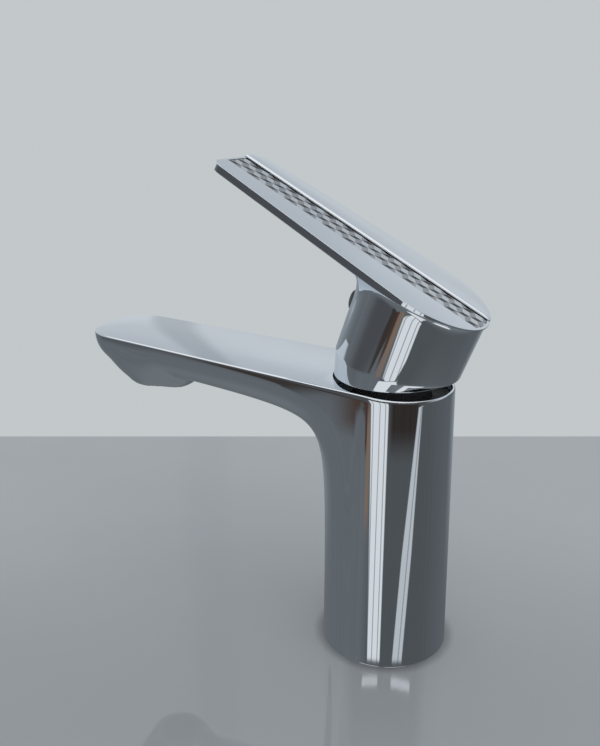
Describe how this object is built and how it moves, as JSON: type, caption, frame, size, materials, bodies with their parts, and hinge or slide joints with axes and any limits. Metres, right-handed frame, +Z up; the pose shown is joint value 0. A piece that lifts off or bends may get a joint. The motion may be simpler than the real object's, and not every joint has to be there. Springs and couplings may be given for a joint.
{
  "type": "basin mixer faucet",
  "caption": "Single-lever chrome basin mixer with a round column, a long tapering spout, a leaning lever handle with a relief strip, and a ceramic-disc cartridge inside.",
  "frame": {"origin": "centre of the round base, on the deck it stands on", "axes": "+Z up along the column, spout and lever towards -Y, +X to the right of a person standing in front of the spout"},
  "size_m": [0.0468, 0.1541, 0.1746],
  "materials": {
    "chrome_plate": "polished chrome plate",
    "textured_chrome": "satin chrome with a pressed relief of six-sided cells",
    "black_rubber": "matt",
    "white_ceramic": "lapped",
    "cartridge_plastic": "dark moulded",
    "grey_plastic": "moulded",
    "black_plastic": "moulded",
    "steel": "plain",
    "bare_brass": "machined",
    "red_plastic": "smooth",
    "blue_plastic": "smooth"
  },
  "bodies": {
    "body": {"body_casting": "chrome_plate", "base_gasket": "black_rubber", "cartridge_base": "cartridge_plastic", "inlet_seal_hot": "black_rubber", "inlet_seal_cold": "black_rubber", "outlet_seal": "black_rubber", "fixed_disc": "white_ceramic", "cartridge_housing": "cartridge_plastic", "retaining_nut": "bare_brass", "nut_cover": "black_plastic", "aerator_sleeve": "chrome_plate", "aerator_core": "grey_plastic", "aerator_screen": "steel", "aerator_washer": "black_rubber"},
    "rotor": {"spindle_rotor": "cartridge_plastic", "spindle_pin": "steel"},
    "handle": {"spindle": "bare_brass", "handle_shell": "chrome_plate", "lever_inlay": "textured_chrome", "set_screw": "steel", "index_plug": "grey_plastic", "index_mark_hot": "red_plastic", "index_mark_cold": "blue_plastic"},
    "slider": {"disc_carrier": "cartridge_plastic", "moving_disc": "white_ceramic"}
  },
  "joints": [
    {"name": "temperature_turn", "type": "hinge", "parent": "body", "child": "rotor", "pos_m": [0, 0, 0.116], "axis": [0, 0, 1], "range_deg": [-45, 45]},
    {"name": "flow_lift", "type": "hinge", "parent": "rotor", "child": "handle", "pos_m": [0, 0, 0.116], "axis": [-1, 0, 0], "range_deg": [0, 11]},
    {"name": "disc_slide", "type": "slide", "parent": "rotor", "child": "slider", "axis": [0, -1, 0], "range_m": [0, 0.0032]}
  ],
  "couplings": [
    {"joint": "disc_slide", "follows": "flow_lift", "m_per_rad": 0.0165}
  ]
}
